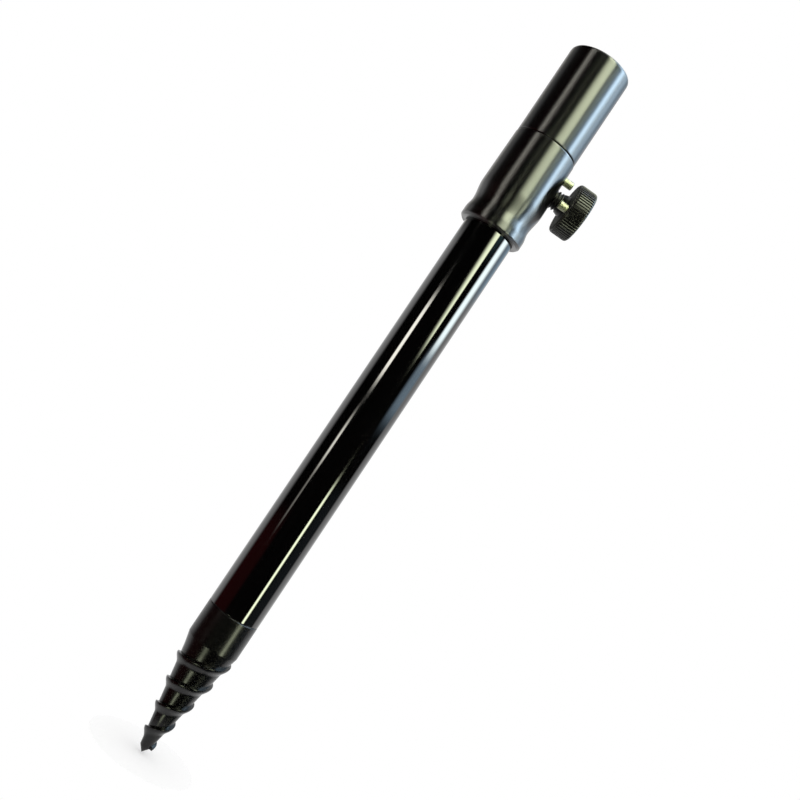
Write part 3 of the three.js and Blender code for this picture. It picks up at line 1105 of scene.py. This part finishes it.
SURROUND_RADIUS = 10  # metres
SURROUND_STEP = 3  # degrees, of its mesh
SURROUND_SIDES = (-150, 150)
ALL_ROUND = (-200, 200)  # past the back, so that a window has no sides
PAST_NADIR = -95  # past the poles, so that a window has no edge there
PAST_ZENITH = 95
UPRIGHT = (0, 0)

CREAM = (0.93, 1, 0.7)
PALE_BLUE = (0.86, 0.98, 1)
SKY_BLUE = (0.6, 0.81, 1)
TEAL = (0.46, 0.89, 1)
WARM_GREY = (1, 0.97, 0.86)
RED = (1, 0.08, 0.1)
COLD_GREY = (0.7, 0.9, 1)
WHITE = (1, 1, 1)


class Window(NamedTuple):
    """A soft patch of light on the surround, in degrees. The backdrop's power is 1.

    azimuth, soft and lean are for its left and its right side: where the side is, how
    soft it is, and how far it moves for a degree of elevation.
    """

    colour: tuple
    power: float
    azimuth: tuple
    soft: tuple
    elevation: tuple
    lean: tuple = UPRIGHT


# To the camera, the head mirrors elevations of about 22 to 27, the collar above its
# waist 17 to 22 and the tube -11 to 16. Where the point faces the camera, its core
# mirrors -40 to -35 and its shoulder -43. Rough surfaces spread that
WINDOWS = [
    Window(CREAM, 11, azimuth=(53, 46.5), soft=(9, 2), elevation=(8, 18), lean=(-1.6, 0)),
    Window(CREAM, 12.5, azimuth=(56, 43), soft=(10, 2), elevation=(18, 75), lean=(-1.6, 0)),
    Window(CREAM, 13, azimuth=(47, 56), soft=(2, 3), elevation=(-24, -2), lean=(-0.2, -0.2)),
    Window(CREAM, 9, azimuth=(-19, -5), soft=(3, 3), elevation=(-43, -29)),
    Window(PALE_BLUE, 11, azimuth=(76.5, 103), soft=(6, 12), elevation=(8, 17)),
    Window(SKY_BLUE, 20, azimuth=(76, 94), soft=(6, 10), elevation=(17, 75)),
    Window(SKY_BLUE, 1.8, azimuth=(70, 108), soft=(10, 10), elevation=(3.2, 8)),
    Window(TEAL, 0.35, azimuth=(48, 68), soft=(4, 6), elevation=(15, 75)),
    Window(SKY_BLUE, 4, azimuth=(98, 124), soft=(6, 8), elevation=(17, 75)),
    Window(WARM_GREY, 11.5, azimuth=(-49.5, -36.5), soft=(2, 2), elevation=(5, 10.5)),
    Window(WARM_GREY, 8, azimuth=(-53, -44), soft=(3, 2), elevation=(-1, 1.9)),
    Window(WARM_GREY, 1.5, azimuth=(-53, -46), soft=(3, 2), elevation=(-5, -1)),
    Window(WARM_GREY, 3, azimuth=(-58, -49), soft=(3, 2), elevation=(17, 75)),
    Window(WHITE, 3, azimuth=ALL_ROUND, soft=(1, 1), elevation=(78, PAST_ZENITH)),
    Window(RED, 0.08, azimuth=(-100, -36), soft=(8, 8), elevation=(-85, -5)),
    Window(COLD_GREY, 0.07, azimuth=(64, 104), soft=(8, 8), elevation=(-85, -2)),
    Window(WHITE, 0.9, azimuth=(-160, -104), soft=(2, 10), elevation=(PAST_NADIR, 15)),
    Window(WARM_GREY, 0.95, azimuth=(-160, -140), soft=(2, 6), elevation=(15, PAST_ZENITH)),
    Window(WHITE, 0.95, azimuth=(108, 160), soft=(6, 2), elevation=(PAST_NADIR, 12)),
    Window(SKY_BLUE, 1.3, azimuth=(108, 160), soft=(6, 2), elevation=(12, PAST_ZENITH)),
]
WINDOW_SOFTNESS = 1.2  # degrees, at the top and the bottom of each window
ROOM_GLOW = 0.002  # of the dark room between the windows
LEAN_TOP = 26  # degrees of elevation above which the windows' sides stand upright


def facing(azimuth, elevation):
    """A direction from the stick, from an azimuth off the camera's and an elevation, in degrees."""
    turn, rise = math.radians(azimuth), math.radians(elevation)
    level = VIEW_RIGHT * math.sin(turn) - VIEW_LEVEL * math.cos(turn)
    return level * math.cos(rise) + Vector((0, 0, math.sin(rise)))


def shell(name, first, last, material):
    """Part of a large sphere round the stick that the camera and diffuse light pass through."""
    columns = round((last - first) / SURROUND_STEP) + 1
    rows = round(180 / SURROUND_STEP) + 1
    places = [
        facing(first + (last - first) * i / (columns - 1), -90 + 180 * j / (rows - 1))
        * SURROUND_RADIUS
        for i in range(columns)
        for j in range(rows)
    ]
    mesh = bpy.data.meshes.new(name)
    mesh.from_pydata(places, [], grid_faces(columns, rows))
    mesh.materials.append(material)
    card = shown(name, mesh)
    card.visible_camera = False
    card.visible_diffuse = False


def glowing(name):
    """A material that only gives light, and that isn't sampled as a lamp."""
    material = bpy.data.materials.new(name)
    material.use_nodes = True
    material.node_tree.nodes.clear()
    nodes = Nodes(material.node_tree)
    glow = nodes.add("ShaderNodeEmission")
    nodes.join(glow.outputs[0], nodes.add("ShaderNodeOutputMaterial").inputs[0])
    material.cycles.emission_sampling = "NONE"
    return material, nodes, glow


def window_light(nodes):
    """The windows' light over the surround, as a colour."""
    place = nodes.add("ShaderNodeTexCoord").outputs["Object"]
    direction = nodes.vector("NORMALIZE", place)
    right, nearer = tuple(facing(90, 0)), tuple(facing(0, 0))
    across = nodes.vector("DOT_PRODUCT", direction, right, output="Value")
    towards = nodes.vector("DOT_PRODUCT", direction, nearer, output="Value")
    degrees = 180 / math.pi
    azimuth = nodes.math("MULTIPLY", nodes.math("ARCTAN2", across, towards), degrees)
    upwards = nodes.vector("DOT_PRODUCT", direction, (0, 0, 1), output="Value")
    elevation = nodes.math("MULTIPLY", nodes.math("ARCSINE", upwards), degrees)
    light = nodes.scaled(WHITE, ROOM_GLOW)
    leaning = nodes.math("MINIMUM", elevation, LEAN_TOP)
    for window in WINDOWS:
        masks = []
        sides = zip(window.azimuth, window.soft, window.lean, (1, -1))
        for side, soft, lean, inwards in sides:
            bearing = nodes.math("MULTIPLY_ADD", leaning, -lean, azimuth)
            masks.append(nodes.ramp(bearing, side - soft * inwards, side + soft * inwards))
        for side, inwards in zip(window.elevation, (1, -1)):
            soft = WINDOW_SOFTNESS * inwards
            masks.append(nodes.ramp(elevation, side - soft, side + soft))
        mask = masks[0]
        for other in masks[1:]:
            mask = nodes.math("MULTIPLY", mask, other)
        glow = nodes.scaled(window.colour, nodes.math("MULTIPLY", mask, window.power))
        light = nodes.vector("ADD", light, glow)
    return light


def studio():
    world = bpy.data.worlds.new("studio")
    bpy.context.scene.world = world
    world.use_nodes = True
    backdrop = world.node_tree.nodes["Background"]
    backdrop.inputs["Color"].default_value = (1, 1, 1, 1)
    backdrop.inputs["Strength"].default_value = 1
    world.cycles.sampling_method = "NONE"
    material, nodes, glow = glowing("surround")
    nodes.join(window_light(nodes), glow.inputs["Color"])
    shell("surround", *SURROUND_SIDES, material)


def camera():
    data = bpy.data.cameras.new("camera")
    data.lens = LENS
    data.sensor_width = SENSOR
    data.clip_start = 0.01
    forward = VIEW_LEVEL * math.cos(VIEW_PITCH) + Vector((0, 0, math.sin(VIEW_PITCH)))
    up = VIEW_RIGHT.cross(forward)
    place = Vector((0, 0, VIEW_HEIGHT)) - forward * VIEW_DISTANCE + VIEW_RIGHT * VIEW_SHIFT
    picture_right = VIEW_RIGHT * math.cos(VIEW_ROLL) + up * math.sin(VIEW_ROLL)
    picture_up = up * math.cos(VIEW_ROLL) - VIEW_RIGHT * math.sin(VIEW_ROLL)
    turn = Matrix((picture_right, picture_up, -forward)).transposed().to_4x4()
    view = shown("camera", data)
    view.matrix_world = Matrix.Translation(place) @ turn
    bpy.context.scene.camera = view


studio()
camera()
bpy.context.scene.view_settings.view_transform = "Standard"

bpy.context.view_layer.update()
